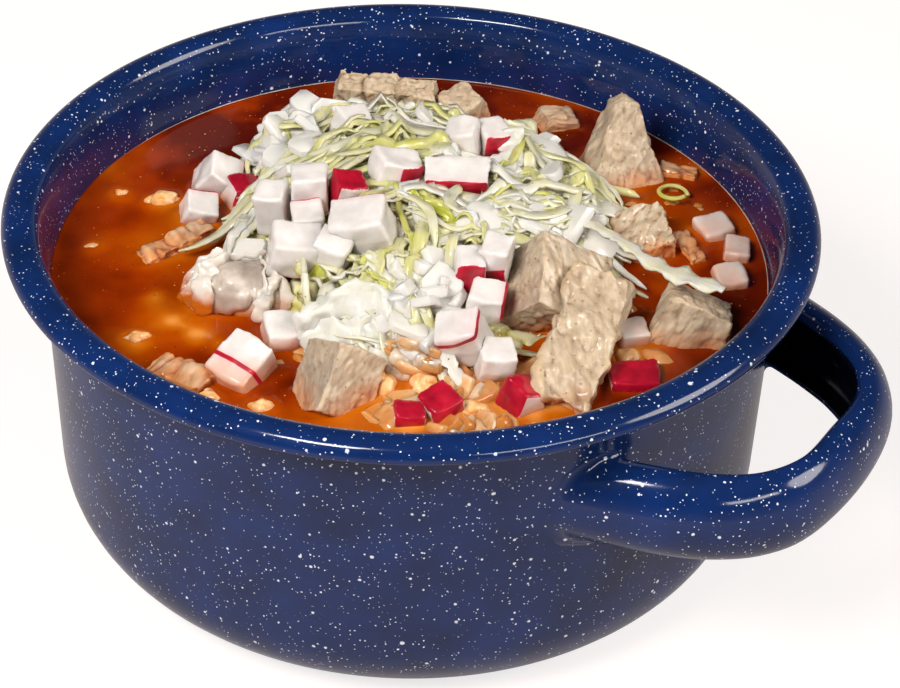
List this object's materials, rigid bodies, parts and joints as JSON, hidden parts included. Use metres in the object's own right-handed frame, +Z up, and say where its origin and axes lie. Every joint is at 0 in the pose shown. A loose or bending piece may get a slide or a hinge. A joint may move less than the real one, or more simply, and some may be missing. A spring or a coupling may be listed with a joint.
{
  "type": "red pozole in an enamel pot",
  "caption": "Red pozole with pork, hominy, diced radish and shredded lettuce, served in a speckled enamel pot with a rolled rim and one loop handle.",
  "frame": {"origin": "centre of the flat base of the pot, on the surface that it stands on", "axes": "+Z up out of the pot, +X from the pot's axis through the middle of its handle"},
  "size_m": [0.2485, 0.22, 0.1059],
  "materials": {
    "enamel": "glossy vitreous enamel with fine white speckles",
    "broth": "liquid with a thin film of red oil",
    "pork": "moist fibrous cooked meat",
    "radish": "wet crisp flesh with red skin",
    "hominy": "soft cooked grain stained by the broth",
    "garnish": "wet shredded leaf and chopped onion",
    "lettuce": "translucent wet leaf rib"
  },
  "bodies": {
    "root": {"pork_centre": "pork", "pork_front_strip": "pork", "pork_right": "pork", "pork_front_left": "pork", "pork_back_wedge": "pork", "pork_back_strip": "pork", "pork_back_block": "pork", "pork_back_bit": "pork", "pork_side": "pork", "pork_fat_lump": "pork", "pork_flake_left": "pork", "pork_flake_front": "pork", "pork_flake_right": "pork", "pork_flake_edge": "pork", "radish_left_large": "radish", "radish_left_small": "radish", "radish_left_red": "radish", "radish_mound_left": "radish", "radish_mound_step": "radish", "radish_mound_tall": "radish", "radish_mound_pale": "radish", "radish_mound_round": "radish", "radish_big": "radish", "radish_skin_left": "radish", "radish_peak_pair": "radish", "radish_back_left": "radish", "radish_slice": "radish", "radish_peak_right": "radish", "radish_peak_red": "radish", "radish_front_red": "radish", "radish_front_white": "radish", "radish_front_upper": "radish", "radish_front_stack": "radish", "radish_front_low": "radish", "radish_broth_left": "radish", "radish_broth_mid": "radish", "radish_front_cube": "radish", "radish_front_dark": "radish", "radish_front_right": "radish", "radish_sunk_right": "radish", "radish_right_white": "radish", "radish_far_a": "radish", "radish_far_b": "radish", "radish_far_c": "radish", "hominy_left_a": "hominy", "hominy_left_b": "hominy", "hominy_left_c": "hominy", "hominy_front_a": "hominy", "hominy_front_b": "hominy", "hominy_front_c": "hominy", "hominy_front_d": "hominy", "hominy_front_e": "hominy", "hominy_front_f": "hominy", "hominy_front_g": "hominy", "hominy_right_a": "hominy", "lettuce_curl": "lettuce", "lettuce_strand": "lettuce", "garnish": "garnish", "broth": "broth", "pot": "enamel"}
  },
  "joints": []
}
